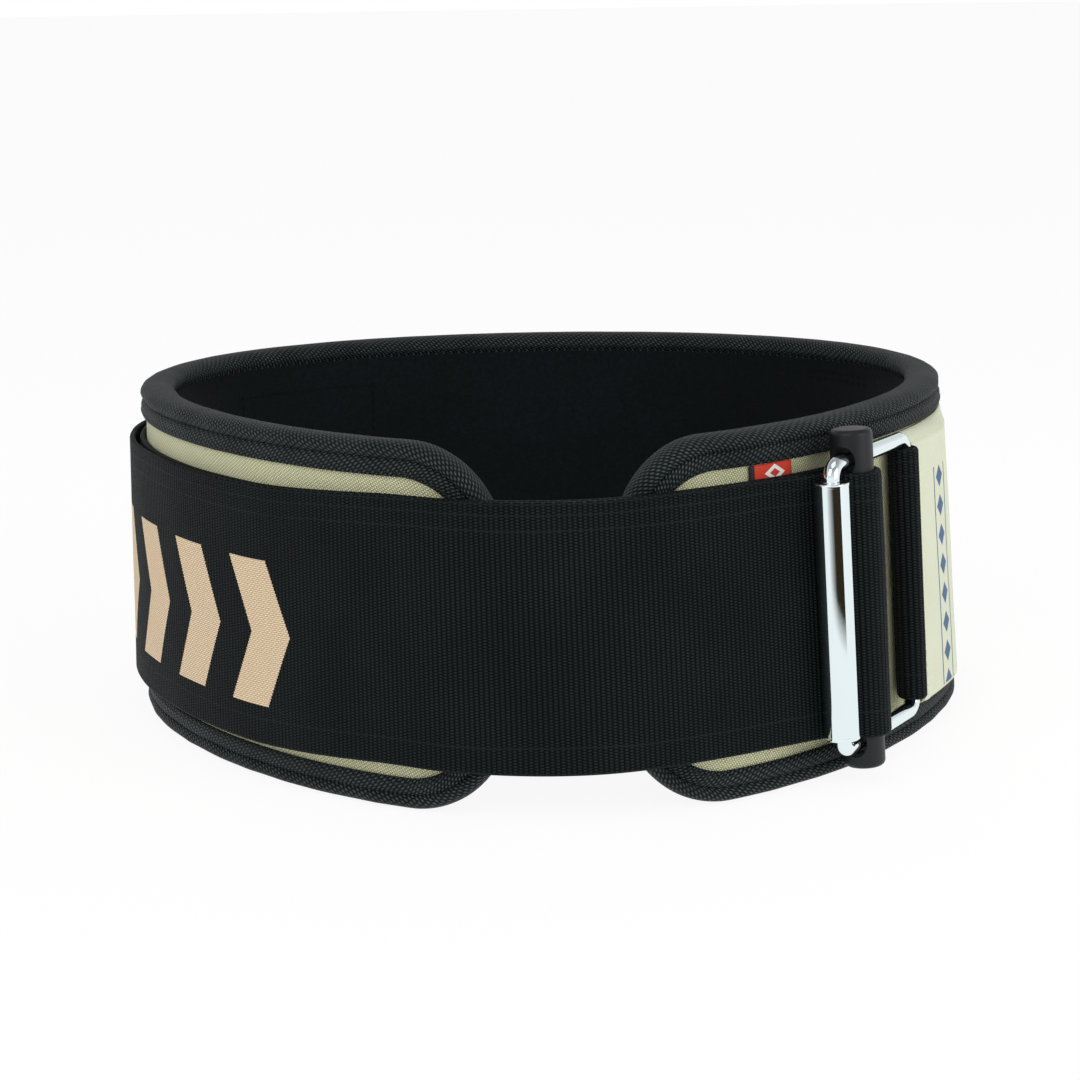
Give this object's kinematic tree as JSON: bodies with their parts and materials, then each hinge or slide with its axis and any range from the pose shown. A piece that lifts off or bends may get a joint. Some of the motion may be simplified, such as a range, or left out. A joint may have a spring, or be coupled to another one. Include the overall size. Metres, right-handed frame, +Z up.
{
  "type": "weightlifting belt",
  "caption": "Padded fabric weightlifting belt standing on its lower edge, closed at the front by a wide webbing strap through a roller buckle with a slide bar.",
  "frame": {"origin": "middle of the belt's box, on the surface that it stands on", "axes": "+Z up, -Y to the front, where the strap closes, +X to the wearer's left, where the buckle is"},
  "size_m": [0.2632, 0.2394, 0.1024],
  "materials": {
    "black_twill": "coarse ribbed twill",
    "beige_nylon": "diagonal nylon weave",
    "black_lining": "brushed matt",
    "webbing": "ribbed webbing",
    "pale_cover": "plain weave with a printed column",
    "red_tag": "woven",
    "chromed_wire": "polished",
    "black_plastic": "satin"
  },
  "bodies": {
    "belt": {"foam_pad": "black_twill", "outer_panel": "beige_nylon", "inner_lining": "black_lining", "edge_tape": "black_twill", "closing_strap": "webbing", "frame_loop": "webbing", "printed_cover": "pale_cover", "side_tag": "red_tag", "buckle_frame": "chromed_wire", "slide_bar": "black_plastic"},
    "roller": {"roller": "chromed_wire"}
  },
  "joints": [
    {"name": "roller_spin", "type": "hinge", "parent": "belt", "child": "roller", "pos_m": [0.07855, -0.09533, 0.05195], "axis": [-0.0496, 0.0314, 0.9983], "continuous": true}
  ]
}
